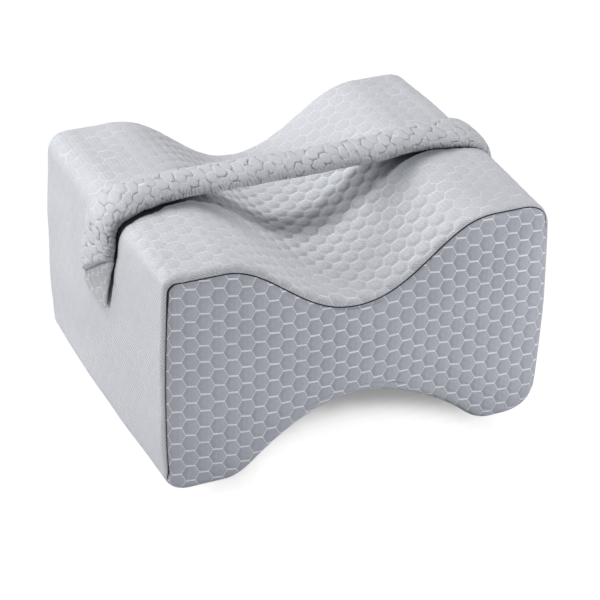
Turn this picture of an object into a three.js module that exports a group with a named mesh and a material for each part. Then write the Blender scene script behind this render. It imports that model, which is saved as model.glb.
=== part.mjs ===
// Leg elevation pillow: a foam block in a wrapped knit cover, hourglass in outline, with an
// end panel sewn into each end and a gathered strap pulled tight over the scooped top.
// Units are millimetres. +X runs across the scoop, +Y away from the front panel, +Z up, and
// the origin is on the floor under the middle of the block.
import * as THREE from "three";

// The block: its size, the scoop that a leg lies in, and the arch under it.
const width = 250;
const depth = 200;
const height = 147;
const sideBulge = 1.6;
const topCorner = 17;
const bottomCorner = 20;
const scoop = { lobe: 87, drop: 40, lobeEase: 32, bottomEase: 36 };
const arch = { rise: 41, crownEase: 24, slopeX: 70, slopeZ: 9, slopeEase: 18, footX: 80, footEnd: 89 };

// The cover: it stands proud between its two seams, and is pulled in along them.
const crown = 1.6;
const lipInset = 4;
const panelGap = 0.3;
const panelBack = 2.8;
const panelSwell = 0.6;

// The strap: a gathered tube sewn flat to each side, widest over the shoulders and narrowest
// over the scoop. It has pressed a shallow bed into the cover where it lies on it.
const strap = {
  bedY: -5,
  bedDepth: 4,
  bedReach: 19,
  clearance: 0.6,
  endHeight: 86,
  steps: 132,
  sides: 24,
};
// Its sections by the distance from the sewn end: the front edge, the back edge, the thickness.
const strapSections = [
  { fromEnd: 0, front: -21, back: 18, thick: 3 },
  { fromEnd: 8, front: -22, back: 17, thick: 6.5 },
  { fromEnd: 22, front: -25, back: 15, thick: 9.5 },
  { fromEnd: 42, front: -27, back: 13, thick: 10 },
  { fromEnd: 62, front: -25, back: 13, thick: 10 },
  { fromEnd: 88, front: -20, back: 13, thick: 10 },
  { fromEnd: 125, front: -17, back: 10.5, thick: 10.5 },
  { fromEnd: 200, front: -16, back: 9, thick: 10.5 },
];
// The gathers: staggered rows of puffs along it.
const puff = { pitch: 11.5, rows: 6, swell: 1.3, wander: 0.12, wanderLength: 17 };

const colours = { cover: 0xc6c9d1, panel: 0xbdc1ca, strap: 0xc9ccd3 };

// The right half of the block's outline in X and Z, from the top of the arch round to the
// bottom of the scoop, each stretch with the steps that its curve needs.
function rightHalf() {
  const at = (x, z) => new THREE.Vector2(x, z);
  const side = width / 2;
  const curve = (steps, a, b, c, d) => ({
    steps,
    line: d ? new THREE.CubicBezierCurve(a, b, c, d) : new THREE.QuadraticBezierCurve(a, b, c),
  });
  const slope = at(arch.slopeX, arch.slopeZ);
  const steepness = arch.slopeZ / (arch.footX - arch.slopeX);
  const slopeHandle = at(arch.slopeX - arch.slopeEase, arch.slopeZ + arch.slopeEase * steepness);
  const stretches = [
    curve(9, at(0, arch.rise), at(arch.crownEase, arch.rise), slopeHandle, slope),
    curve(3, slope, at(arch.footX, 0), at(arch.footEnd, 0)),
    { steps: 1, line: new THREE.LineCurve(at(arch.footEnd, 0), at(side - bottomCorner, 0)) },
    curve(5, at(side - bottomCorner, 0), at(side, 0), at(side, bottomCorner)),
    curve(6, at(side, bottomCorner), at(side + 2 * sideBulge, height / 2), at(side, height - topCorner)),
    curve(5, at(side, height - topCorner), at(side, height), at(side - topCorner, height)),
    { steps: 1, line: new THREE.LineCurve(at(side - topCorner, height), at(scoop.lobe, height)) },
    curve(
      12,
      at(scoop.lobe, height),
      at(scoop.lobe - scoop.lobeEase, height),
      at(scoop.bottomEase, height - scoop.drop),
      at(0, height - scoop.drop),
    ),
  ];
  const points = [at(0, arch.rise)];
  for (const { steps, line } of stretches) {
    points.push(...line.getPoints(steps).slice(1));
  }
  return points;
}

// The whole outline, anticlockwise from the top of the arch, with each point's outward normal.
function closedOutline() {
  const right = rightHalf();
  const left = right
    .slice(1, -1)
    .reverse()
    .map((p) => new THREE.Vector2(-p.x, p.y));
  const points = [...right, ...left];
  return points.map((point, i) => {
    const before = points[(i + points.length - 1) % points.length];
    const after = points[(i + 1) % points.length];
    const along = after.clone().sub(before).normalize();
    return { point, normal: new THREE.Vector2(along.y, -along.x) };
  });
}

const outline = closedOutline();

// How far the strap has pressed the cover in at a point: on the lobes and down the sides.
function pressedIn(point, y) {
  const across = Math.exp(-(((y - strap.bedY) / strap.bedReach) ** 4));
  const onLobe = THREE.MathUtils.smoothstep(Math.abs(point.x), scoop.lobe - 35, scoop.lobe);
  const upSide = THREE.MathUtils.smoothstep(point.y, strap.endHeight - 6, strap.endHeight + 35);
  return strap.bedDepth * across * onLobe * upSide;
}

// How far the cover stands out between its seams: nothing at the ends, all of it halfway, and
// less on the underside, where the block's own weight holds it.
function swollen(y, normal) {
  const underside = THREE.MathUtils.smoothstep(-normal.y, 0.2, 0.8);
  return crown * (1 - 0.8 * underside) * (1 - ((2 * y) / depth) ** 2);
}

// The cover's outline at one depth. Its feet stay flat on the floor.
function coverOutline(y, inset) {
  return outline.map(({ point, normal }) => {
    const out = swollen(y, normal) - inset - pressedIn(point, y);
    return new THREE.Vector2(point.x + normal.x * out, Math.max(0, point.y + normal.y * out));
  });
}

// A closed solid through rings of points, all of one length and running anticlockwise as seen
// from before the first, with a flat cap on each end ring.
function solidFromRings(rings) {
  const size = rings[0].length;
  const positions = rings.flat().flatMap((p) => [p.x, p.y, p.z]);
  const faces = [];
  for (let r = 0; r < rings.length - 1; r++) {
    for (let i = 0; i < size; i++) {
      const j = (i + 1) % size;
      const [a, b, c, d] = [r * size + i, r * size + j, (r + 1) * size + j, (r + 1) * size + i];
      faces.push(a, c, b, a, d, c);
    }
  }
  const lastRing = (rings.length - 1) * size;
  for (const [i, j, k] of capFaces(rings[0])) faces.push(i, j, k);
  for (const [i, j, k] of capFaces(rings[rings.length - 1])) {
    faces.push(lastRing + k, lastRing + j, lastRing + i);
  }
  const geometry = new THREE.BufferGeometry();
  geometry.setAttribute("position", new THREE.Float32BufferAttribute(positions, 3));
  geometry.setIndex(faces);
  geometry.computeVertexNormals();
  return geometry;
}

// Triangles that fill a flat ring, wound the way the ring runs.
function capFaces(ring) {
  const normal = new THREE.Vector3();
  ring.forEach((p, i) => normal.add(p.clone().cross(ring[(i + 1) % ring.length])));
  const across = ring[1].clone().sub(ring[0]).normalize();
  const up = normal.normalize().clone().cross(across);
  const flat = ring.map((p) => new THREE.Vector2(p.dot(across), p.dot(up)));
  return THREE.ShapeUtils.triangulateShape(flat, []);
}

// An outline stood up at one depth.
const standing = (flatRing, y) => flatRing.map((p) => new THREE.Vector3(p.x, y, p.y));

// The lip that wraps each end: how far in from the end, and how far inside the outline.
const lipSteps = [
  { fromEnd: panelBack, inset: lipInset },
  { fromEnd: 1.3, inset: lipInset },
  { fromEnd: 0.25, inset: 3.1 },
  { fromEnd: 0.25, inset: 1.7 },
  { fromEnd: 1.2, inset: 0.6 },
  { fromEnd: 3.6, inset: 0 },
];
// Depths of the rings between the two lips, closer together under the strap.
const coverDepths = [-84, -60, -42, -32, -24, -17, -11, -5, 1, 7, 14, 22, 32, 50, 72, 88];

function pillowBody() {
  const front = lipSteps.map(({ fromEnd, inset }) => ({ y: -depth / 2 + fromEnd, inset }));
  const back = lipSteps.map(({ fromEnd, inset }) => ({ y: depth / 2 - fromEnd, inset })).reverse();
  const middle = coverDepths.map((y) => ({ y, inset: 0 }));
  const rings = [...front, ...middle, ...back].map(({ y, inset }) => standing(coverOutline(y, inset), y));
  return solidFromRings(rings);
}

// An end panel: its edge dips into the seam, and its face swells a little past the lip.
const panelSteps = [
  { out: -panelBack + panelGap, inset: 0 },
  { out: -1.4, inset: 0 },
  { out: -0.5, inset: 0.9 },
  { out: 0.1, inset: 2.2 },
  { out: panelSwell, inset: 5.8 },
];

function endPanel(facing) {
  const rings = panelSteps.map(({ out, inset }) => {
    const y = facing * (depth / 2 + out);
    return standing(coverOutline(facing * (depth / 2), lipInset + panelGap + inset), y);
  });
  return solidFromRings(facing < 0 ? rings.reverse() : rings);
}

// The tight line over a set of points, from the lowest on the left to the lowest on the right.
function tightLine(points) {
  const sorted = [...points].sort((a, b) => a.x - b.x || a.y - b.y);
  const hull = [];
  for (const p of sorted) {
    while (hull.length > 1) {
      const [a, b] = hull.slice(-2);
      const turn = (b.x - a.x) * (p.y - a.y) - (b.y - a.y) * (p.x - a.x);
      if (turn < 0) break;
      hull.pop();
    }
    hull.push(p);
  }
  return hull;
}

// The line that the strap lies on: up one side, straight from lobe to lobe, down the other.
function strapLine() {
  const cover = coverOutline(strap.bedY, 0);
  const upper = cover.filter((p) => p.y > strap.endHeight && Math.abs(p.x) > scoop.lobe);
  const sideX = Math.max(...cover.map((p) => p.x));
  const ends = [-sideX, sideX].map((x) => new THREE.Vector2(x, strap.endHeight));
  const over = tightLine([...upper, ...ends]);
  const line = new THREE.CurvePath();
  for (let i = 1; i < over.length; i++) line.add(new THREE.LineCurve(over[i - 1], over[i]));
  return line;
}

// The strap's section at a distance from its nearer end, eased from row to row of the table.
function strapSection(fromEnd) {
  const last = strapSections.length - 1;
  const after = Math.max(1, strapSections.findIndex((row) => row.fromEnd > fromEnd));
  const to = fromEnd >= strapSections[last].fromEnd ? last : after;
  const [low, high] = [strapSections[to - 1], strapSections[to]];
  const share = THREE.MathUtils.smoothstep(fromEnd, low.fromEnd, high.fromEnd);
  const between = (key) => THREE.MathUtils.lerp(low[key], high[key], share);
  return { front: between("front"), back: between("back"), thick: between("thick") };
}

// The rise of the gathered cloth: staggered rows of puffs, with a crease round each.
function puffed(along, around) {
  const row = around * puff.rows;
  const stagger = (Math.floor(row) % 2) / 2;
  const place = along / puff.pitch + stagger + puff.wander * Math.sin(along / puff.wanderLength);
  return puff.swell * (Math.abs(Math.sin(Math.PI * place)) * Math.abs(Math.sin(Math.PI * row)) - 0.5);
}

function strapTube() {
  const line = strapLine();
  const step = line.getLength() / strap.steps;
  const rings = [];
  for (let k = 0; k <= strap.steps; k++) {
    const place = line.getPointAt(k / strap.steps);
    const ahead = line.getPointAt(Math.min(1, (k + 1.5) / strap.steps));
    const behind = line.getPointAt(Math.max(0, (k - 1.5) / strap.steps));
    const along = ahead.sub(behind).normalize();
    const out = new THREE.Vector2(-along.y, along.x);
    const fromEnd = Math.min(k, strap.steps - k) * step;
    const { front, back, thick } = strapSection(fromEnd);
    const gathered = THREE.MathUtils.smoothstep(fromEnd, 0, 12);
    const ring = [];
    for (let i = 0; i < strap.sides; i++) {
      const turn = (-2 * Math.PI * i) / strap.sides;
      const upperSide = THREE.MathUtils.smoothstep(Math.sin(turn), -0.5, 0.2);
      const swell = gathered * upperSide * puffed(k * step, i / strap.sides);
      const high = strap.clearance + (thick / 2) * (1 + Math.sin(turn)) + swell * Math.sin(turn);
      const y = (front + back) / 2 + ((back - front) / 2 + swell) * Math.cos(turn);
      ring.push(new THREE.Vector3(place.x + out.x * high, y, place.y + out.y * high));
    }
    rings.push(ring);
  }
  return solidFromRings(rings);
}

function named(name, geometry, colour) {
  const material = new THREE.MeshStandardMaterial({ color: colour, roughness: 0.9, metalness: 0 });
  const mesh = new THREE.Mesh(geometry, material);
  mesh.name = name;
  return mesh;
}

const pillow = new THREE.Group();
pillow.add(
  named("pillow_body", pillowBody(), colours.cover),
  named("front_panel", endPanel(-1), colours.panel),
  named("back_panel", endPanel(1), colours.panel),
  named("strap", strapTube(), colours.strap),
);

export default pillow;
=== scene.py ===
import math

import bmesh
import bpy
import numpy as np
from mathutils import Matrix, Vector
from mathutils.bvhtree import BVHTree


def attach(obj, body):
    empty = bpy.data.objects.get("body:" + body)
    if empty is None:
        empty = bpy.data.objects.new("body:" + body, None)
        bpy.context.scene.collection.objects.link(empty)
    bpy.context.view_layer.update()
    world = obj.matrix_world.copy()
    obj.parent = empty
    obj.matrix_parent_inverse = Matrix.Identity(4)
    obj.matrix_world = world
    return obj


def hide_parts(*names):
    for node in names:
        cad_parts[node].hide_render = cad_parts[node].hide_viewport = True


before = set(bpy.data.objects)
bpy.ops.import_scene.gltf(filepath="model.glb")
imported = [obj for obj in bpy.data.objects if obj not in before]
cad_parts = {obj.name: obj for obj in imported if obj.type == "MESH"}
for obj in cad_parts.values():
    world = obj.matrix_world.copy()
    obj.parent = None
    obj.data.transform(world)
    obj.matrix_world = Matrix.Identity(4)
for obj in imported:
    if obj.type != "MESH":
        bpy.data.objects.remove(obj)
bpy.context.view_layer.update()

mm = 0.001  # every size below is in millimetres, and becomes metres in the mesh


def addObject(name, data):
    made = bpy.data.objects.new(name, data)
    bpy.context.collection.objects.link(made)
    return made


# Camera, at the photograph's height and turn
cameraLook = {
    "azimuth": 24.7,  # degrees to the left of straight in front
    "elevation": 30.14, "roll": 1.34, "distance": 1413.8, "aimHeight": 70,
    "focalPixels": 2254.4,  # focal length in pixels of the image
    "imageSize": 600, "sensorWidth": 36,
    "centreX": 290.3,  # the pixel that the camera aims at
    "centreY": 274.5,
}


def makeCamera(look):
    turn, rise, roll = (math.radians(look[k]) for k in ("azimuth", "elevation", "roll"))
    back = Vector((-math.sin(turn) * math.cos(rise), -math.cos(turn) * math.cos(rise), math.sin(rise)))
    right = (-back).cross(Vector((0, 0, 1))).normalized()
    up = right.cross(-back)
    right, up = right * math.cos(roll) + up * math.sin(roll), up * math.cos(roll) - right * math.sin(roll)
    data = bpy.data.cameras.new("camera")
    data.sensor_width = look["sensorWidth"]
    data.lens = data.sensor_width * look["focalPixels"] / look["imageSize"]
    data.shift_x = (look["imageSize"] / 2 - look["centreX"]) / look["imageSize"]
    data.shift_y = (look["centreY"] - look["imageSize"] / 2) / look["imageSize"]
    camera = addObject("camera", data)
    camera.matrix_world = Matrix((right, up, back)).transposed().to_4x4()
    camera.location = Vector((0, 0, look["aimHeight"] * mm)) + back * look["distance"] * mm
    bpy.context.scene.camera = camera


makeCamera(cameraLook)
print("camera ready")

# Small tools for shaping
# number, share of the length, shift, divisor
waves = {"count": 7, "pitch": (0.7, 1.5), "phase": 6.3, "calm": 4}


def ease(x, low, high):
    t = np.clip((x - low) / (high - low), 0, 1)
    return t * t * (3 - 2 * t)


def softWaves(u, v, length, seed):
    # A smooth random height from -1 to 1: a few crossing waves of about this length
    rng = np.random.default_rng(seed)
    total = np.zeros_like(u)
    for _ in range(waves["count"]):
        way = rng.uniform(0, 2 * math.pi)
        pitch = length * rng.uniform(*waves["pitch"])
        along = u * math.cos(way) + v * math.sin(way)
        total += np.sin(along * 2 * math.pi / pitch + rng.uniform(0, waves["phase"]))
    return total / waves["calm"]


def unevenness(u, v, sets):
    # Each set of waves is a height, a length and a seed
    return sum(height * softWaves(u, v, length, seed) for height, length, seed in sets)


def bezierPoints(corners, steps):
    t = np.linspace(0, 1, steps + 1)[:, None]
    p = [np.array(c, float) for c in corners]
    while len(p) > 1:
        p = [a * (1 - t) + b * t for a, b in zip(p, p[1:])]
    return p[0]


def unit(ways):
    return ways / np.linalg.norm(ways, axis=-1, keepdims=True)


def lengthAlong(line):
    return np.r_[0, np.cumsum(np.linalg.norm(np.diff(line, axis=0), axis=1))]


def pointsAt(at, measure, line):
    return np.stack([np.interp(at, measure, column) for column in line.T], -1)


def valueAt(table, at):
    return np.interp(at, [row[0] for row in table], [row[1] for row in table])


def evenPoints(line, count):
    # The line walked at even steps, and its length
    walked = lengthAlong(line)
    return pointsAt(np.linspace(0, walked[-1], count + 1), walked, line), walked[-1]


def outwardNormals(line):
    # Of a closed line that runs anticlockwise in X and Z
    along = unit(np.roll(line, -1, 0) - np.roll(line, 1, 0))
    return np.stack([along[:, 1], -along[:, 0]], 1)


def closedLine(outline, count):
    # A closed line at even steps, with its outward normals
    line = evenPoints(np.vstack([outline, outline[:1]]), count)[0][:-1]
    return line, outwardNormals(line)


# The honeycomb's cells, the same on the cover, the panels and the strap
cell = {"columnPitch": 8.95, "rowPitch": 11.1}
cellSide = cell["columnPitch"] / 1.5
cellHalf = cellSide * math.sqrt(3) / 2  # from the middle of an even cell to its edge
cellStretch = 2 * cellHalf / cell["rowPitch"]


def hexCells(u, v):
    # Distance to the nearest edge of the flat-topped cells, and the place in the cell along v, from -1 to 1
    v = v * cellStretch

    def fromCentre(u, v):
        return (u + 1.5 * cellSide) % (3 * cellSide) - 1.5 * cellSide, (v + cellHalf) % (2 * cellHalf) - cellHalf

    au, av = fromCentre(u, v)
    bu, bv = fromCentre(u - 1.5 * cellSide, v - cellHalf)
    nearer = np.hypot(au, av) < np.hypot(bu, bv)
    x, alongV = np.abs(np.where(nearer, au, bu)), np.where(nearer, av, bv)
    y = np.abs(alongV)
    return cellHalf - np.maximum(y, x * math.sqrt(3) / 2 + y / 2), alongV / cellHalf


def gridSheet(name, across, along):
    # A flat grid, and each of its points as a share of the way across and along
    bm = bmesh.new()
    bmesh.ops.create_grid(bm, x_segments=across, y_segments=along, size=1)
    mesh = bpy.data.meshes.new(name)
    bm.to_mesh(mesh)
    bm.free()
    flat = np.empty(len(mesh.vertices) * 3)
    mesh.vertices.foreach_get("co", flat)
    flat = flat.reshape(-1, 3)
    return mesh, (flat[:, 0] + 1) / 2, (flat[:, 1] + 1) / 2


def placePoints(mesh, points, u, v):
    # Moves the grid's points into place, and keeps the cloth's own measure as its UV map, in metres
    mesh.vertices.foreach_set("co", (np.asarray(points) * mm).astype(np.float32).ravel())
    corner = np.empty(len(mesh.loops), dtype=np.int32)
    mesh.loops.foreach_get("vertex_index", corner)
    layer = mesh.uv_layers.new(name="cloth")
    layer.data.foreach_set("uv", (np.stack([u, v], 1)[corner] * mm).astype(np.float32).ravel())
    mesh.update()


def markPoints(mesh, marks):
    # Values on the points, which the materials read
    for label, values in marks.items():
        layer = mesh.attributes.new(label, "FLOAT", "POINT")
        layer.data.foreach_set("value", values.astype(np.float32))


weldWithin = 0.00002  # metres


def closeAndShow(name, mesh, material):
    # Welds the seam, fills the open ends and makes the object
    bm = bmesh.new()
    bm.from_mesh(mesh)
    bmesh.ops.remove_doubles(bm, verts=bm.verts, dist=weldWithin)
    bmesh.ops.holes_fill(bm, edges=[e for e in bm.edges if e.is_boundary], sides=0)
    bmesh.ops.recalc_face_normals(bm, faces=bm.faces)
    for face in bm.faces:
        face.smooth = len(face.verts) <= 4
    bm.to_mesh(mesh)
    bm.free()
    piece = addObject(name, mesh)
    mesh.materials.append(material)
    return piece


def newGroup(name, place, numbers, outputs):
    group = bpy.data.node_groups.new(name, "ShaderNodeTree")
    group.interface.new_socket(name=place, in_out="INPUT", socket_type="NodeSocketVector")
    for label in numbers:
        group.interface.new_socket(name=label, in_out="INPUT", socket_type="NodeSocketFloat")
    for label in outputs:
        group.interface.new_socket(name=label, in_out="OUTPUT", socket_type="NodeSocketFloat")
    given, made = group.nodes.new("NodeGroupInput").outputs, group.nodes.new("NodeGroupOutput")
    return group, Wires(group), given, made


class Wires:
    # Short ways to add the nodes of one tree
    def __init__(self, tree):
        self.tree = tree

    def new(self, kind):
        return self.tree.nodes.new("ShaderNode" + kind)

    def plug(self, socket, value):
        if isinstance(value, bpy.types.NodeSocket):
            self.tree.links.new(value, socket)
        elif value is not None:
            socket.default_value = value

    def fill(self, node, values):
        for label, value in values.items():
            self.plug(node.inputs[label], value)
        return node.outputs

    def math(self, operation, a, b=None):
        node = self.new("Math")
        node.operation = operation
        return self.fill(node, {0: a, 1: b})[0]

    def add(self, a, b):
        return self.math("ADD", a, b)

    def minus(self, a, b):
        return self.math("SUBTRACT", a, b)

    def times(self, a, b):
        return self.math("MULTIPLY", a, b)

    def larger(self, a, b):
        return self.math("MAXIMUM", a, b)

    def steps(self, value, low, high, outLow=0.0, outHigh=1.0):
        node = self.new("MapRange")
        node.interpolation_type = "SMOOTHSTEP"
        given = {"Value": value, "From Min": low, "From Max": high, "To Min": outLow, "To Max": outHigh}
        return self.fill(node, given)[0]

    def noise(self, vector, scale, detail, roughness):
        given = {"Vector": vector, "Scale": scale, "Detail": detail, "Roughness": roughness}
        return self.fill(self.new("TexNoise"), given)["Fac"]

    def split(self, vector):
        return self.fill(self.new("SeparateXYZ"), {0: vector})

    def blend(self, share, a, b):
        node = self.new("Mix")
        node.data_type = "RGBA"
        return self.fill(node, {"Factor": share, "A": a, "B": b})["Result"]

    def bump(self, height, strength, distance, normal=None):
        given = {"Strength": strength, "Distance": distance, "Height": height, "Normal": normal}
        return self.fill(self.new("Bump"), given)[0]

    def group(self, tree, **values):
        node = self.new("Group")
        node.node_tree = tree
        return self.fill(node, values)

    def painted(self, label):
        # A value that markPoints has put on the mesh
        node = self.new("Attribute")
        node.attribute_name = label
        return node.outputs["Fac"]


def newMaterial(name):
    material = bpy.data.materials.new(name)
    material.use_nodes = True
    return material, material.node_tree, Wires(material.node_tree)


honeycombLook = {
    "lineSoft": 0.18, "lineEnds": (-0.35, 0.15),  # how softly the sides and the ends of a float stop
    "dotPitch": 1.35, "dotSize": 0.85, "dotSoft": 0.1,
    "slantLine": (0.2, 0.45, 0.2),  # full, gone, strength
    "rim": 0.9,
    "dome": 0.7,  # share of the half cell
    "crack": (0.15, 0.5),
}


def makeHoneycomb(look):
    # Cell edges as masks: the long floats on the flat edges and the dotted stitches on the slanted ones
    masks = ["Floats", "Dots", "Edge", "Dome", "Crack"]
    group, w, given, made = newGroup("honeycombKnit", "Cloth", ["Line"], masks)
    u, v, _ = w.split(given["Cloth"])
    u, v = w.times(u, 1 / mm), w.times(v, cellStretch / mm)

    def wrapped(value, period, shift=0.0):
        return w.minus(w.math("FLOORED_MODULO", w.add(value, period / 2 - shift), period), period / 2)

    def fromCentre(shiftU, shiftV):
        x, y = wrapped(u, 3 * cellSide, shiftU), wrapped(v, 2 * cellHalf, shiftV)
        return w.math("ABSOLUTE", x), w.math("ABSOLUTE", y), w.add(w.times(x, x), w.times(y, y))

    ax, ay, aFar = fromCentre(0, 0)
    bx, by, bFar = fromCentre(1.5 * cellSide, cellHalf)
    inB = w.math("GREATER_THAN", aFar, bFar)
    x = w.add(ax, w.times(inB, w.minus(bx, ax)))
    y = w.add(ay, w.times(inB, w.minus(by, ay)))
    toFlat = w.minus(cellHalf, y)
    toSlant = w.minus(cellHalf, w.add(w.times(x, math.sqrt(3) / 2), w.times(y, 0.5)))
    edge = w.math("MINIMUM", toFlat, toSlant)
    half, corners = w.times(given["Line"], 0.5), [cellSide / 2 + past for past in look["lineEnds"]]
    flatLine = w.steps(toFlat, half, w.add(half, look["lineSoft"]), 1.0, 0.0)
    line = w.times(flatLine, w.steps(x, *corners, 1.0, 0.0))
    offDot = wrapped(w.minus(w.times(y, math.sqrt(3) / 2), w.times(x, 0.5)), look["dotPitch"])
    fromDot = w.math("SQRT", w.add(w.times(offDot, offDot), w.times(toSlant, toSlant)))
    radius, soft = look["dotSize"] / 2, look["dotSoft"]
    dotted = w.steps(fromDot, radius - soft, radius + soft, 1.0, 0.0)
    w.fill(made, {
        "Floats": line,
        "Dots": w.larger(dotted, w.steps(toSlant, *look["slantLine"], 0.0)),
        "Edge": w.steps(edge, 0.0, look["rim"], 1.0, 0.0),
        "Dome": w.steps(edge, 0.0, cellHalf * look["dome"]),
        "Crack": w.steps(edge, *look["crack"], 1.0, 0.0),
    })
    return group


knitLook = {
    "lean": 0.9,  # how far the loops lean, and how far their rows do
    "slant": 0.5,
    "loops": 0.5,  # share of the height that comes from the loops, and from the grain
    "grain": 0.6,
    "grainNoise": (900.0, 1.0, 0.5),  # scale, detail, roughness
    "speck": (0.15, 0.65),
}


def makeFineKnit(look):
    # Rows of tiny knitted loops: a height and light specks, on the cloth's own measure
    group, w, given, made = newGroup("fineKnit", "Cloth", ["Loop Wide", "Loop High"], ["Height", "Speck"])
    u, v, _ = w.split(given["Cloth"])
    wide = w.math("DIVIDE", w.times(u, 2 * math.pi / mm), given["Loop Wide"])
    high = w.math("DIVIDE", w.times(v, 2 * math.pi / mm), given["Loop High"])
    lean = w.add(wide, w.times(w.math("SINE", high), look["lean"]))
    loops = w.times(w.math("COSINE", lean), w.math("COSINE", w.add(high, w.times(lean, look["slant"]))))
    grain = w.noise(given["Cloth"], *look["grainNoise"])
    height = w.add(w.times(loops, look["loops"]), w.times(grain, look["grain"]))
    w.fill(made, {"Height": height, "Speck": w.steps(height, *look["speck"])})
    return group


# like grainNoise
driftLook = {"Tone": (14.0, 3.0, 0.55), "Fine": (260.0, 2.0, 0.6), "Patch": (65.0, 2.0, 0.6)}


def makeToneDrift(look):
    # Slow changes of tone where the cloth has been stretched, handled and pressed
    group, w, given, made = newGroup("toneDrift", "Place", [], list(look))
    w.fill(made, {label: w.noise(given["Place"], *noise) for label, noise in look.items()})
    return group


honeycomb = makeHoneycomb(honeycombLook)
fineKnit = makeFineKnit(knitLook)
toneDrift = makeToneDrift(driftLook)

clothLook = {  # the same for all three cloths
    "tone": (0.3, 0.7),  # where the drift turns dark to light
    "patch": (0.42, 0.7),  # where it lets the honeycomb show, and below, where the cloth is marked clear
    "clearPatch": (0.36, 0.56, 0.4, 1.0),
    "crack": (0.25, 0.75), "crease": (0.3, 0.9), "endLines": 0.8, "wear": 0.35,
    "smooth": 0.6, "rough": 0.95, "sheenRough": 0.45, "specular": 0.3,
    "knitStep": 0.0003,
    "reliefStep": (0.8, 0.0006),  # strength, distance
}


def clothMaterial(name, own):
    look = {**clothLook, **own}
    material, tree, w = newMaterial(name)
    measure = w.new("UVMap")
    measure.uv_map = "cloth"
    cloth = measure.outputs[0]
    place = w.new("TexCoord").outputs["Object"]
    line, dome = look["line"], look["dome"]
    if "looseLine" in look:
        line = w.steps(w.painted("loose"), 0, 1, line, look["looseLine"])
        dome = w.steps(w.painted("loose"), 0, 1, look["calmDome"], dome)
    cells = w.group(honeycomb, Cloth=cloth, Line=line)
    loops = w.group(fineKnit, **{"Cloth": cloth, "Loop Wide": look["loop"][0], "Loop High": look["loop"][1]})
    drift = w.group(toneDrift, Place=place)
    shown = w.steps(drift["Patch"], *look["patch"], look["faint"], 1.0)
    if "tautShare" in look:
        shown = w.larger(shown, w.times(w.painted("clear"), w.steps(drift["Patch"], *look["clearPatch"])))
        shown = w.times(shown, w.steps(w.painted("taut"), 0, 1, 1.0, look["tautShare"]))
    ground = w.blend(w.steps(drift["Tone"], *look["tone"]), look["dark"], look["light"])
    ground = w.blend(w.times(loops["Speck"], look["specks"]), ground, look["yarn"])
    ground = w.blend(w.times(w.times(cells["Edge"], look["rim"]), shown), ground, look["yarn"])
    stitched = w.larger(w.times(cells["Floats"], look["floats"]), w.times(cells["Dots"], look["dots"]))
    stitched = w.times(stitched, shown)
    ground = w.blend(stitched, ground, look["stitch"])
    # Painted shade beside the strap's front edge: the colour is darkened toward a dark tone by the share marked
    # on the mesh
    if "pressed" in look:
        ground = w.blend(w.times(w.painted("paintedStrapShade"), look["pressed"]), ground, look["pressedTone"])
    relief = w.add(w.times(cells["Dome"], dome), w.times(stitched, look["stitchLift"]))
    # Painted shade on the strap: the flat ends are shaded darker, and the creases, folds and pinches are
    # darkened toward the fold tone as well as sunk in the relief
    if "fold" in look:
        flatEnd, lines = w.painted("flatEnd"), w.larger(cells["Floats"], cells["Dots"])
        ground = w.blend(w.times(flatEnd, look["endShade"]), ground, (0.0, 0.0, 0.0, 1))
        ground = w.blend(w.times(w.times(flatEnd, lines), look["endLines"]), ground, look["stitch"])
        crack = w.times(w.steps(w.painted("crack"), *look["crack"]), cells["Crack"])
        deep = w.larger(crack, w.steps(w.painted("fold"), *look["crease"]))
        ground = w.blend(w.times(deep, look["foldShadeShare"]), ground, look["fold"])
        relief = w.minus(relief, deep)
    worn = w.minus(drift["Fine"], w.times(stitched, look["wear"]))
    knit = w.bump(loops["Height"], look["knitDepth"], look["knitStep"])
    w.fill(tree.nodes["Principled BSDF"], {
        "Base Color": ground,
        "Roughness": w.steps(worn, 0.0, 1.0, look["smooth"], look["rough"]),
        "Normal": w.bump(relief, *look["reliefStep"], knit),
        "Sheen Weight": look["sheen"],
        "Sheen Roughness": look["sheenRough"],
        "Specular IOR Level": look["specular"],
    })
    return material


coverCloth = clothMaterial("coverCloth", {
    "dark": (0.442, 0.454, 0.489, 1), "light": (0.492, 0.503, 0.538, 1), "yarn": (0.702, 0.714, 0.755, 1),
    # After the stitch colour: the tone and the strength of the painted shade beside the strap
    "stitch": (0.79, 0.805, 0.86, 1), "pressedTone": (0.085, 0.095, 0.12, 1), "pressed": 0.92,
    "line": 0.6, "looseLine": 0.9, "floats": 0.75, "dots": 0.5, "rim": 0.2, "specks": 0.75, "faint": 0.06,
    "tautShare": 0.35, "loop": (1.3, 1.9), "sheen": 0.15, "knitDepth": 0.7, "dome": 1.2, "calmDome": 0.15,
    "stitchLift": 0.5,
})
panelCloth = clothMaterial("panelCloth", {
    "dark": (0.41, 0.431, 0.49, 1), "light": (0.46, 0.481, 0.54, 1), "yarn": (0.57, 0.59, 0.645, 1),
    "stitch": (0.92, 0.94, 0.99, 1),
    "line": 0.95, "floats": 1.0, "dots": 1.0, "rim": 0.12, "specks": 0.35, "faint": 0.85,
    "loop": (1.3, 1.3), "sheen": 0.1, "knitDepth": 0.35, "dome": 0.8, "stitchLift": 0.8,
})
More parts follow.
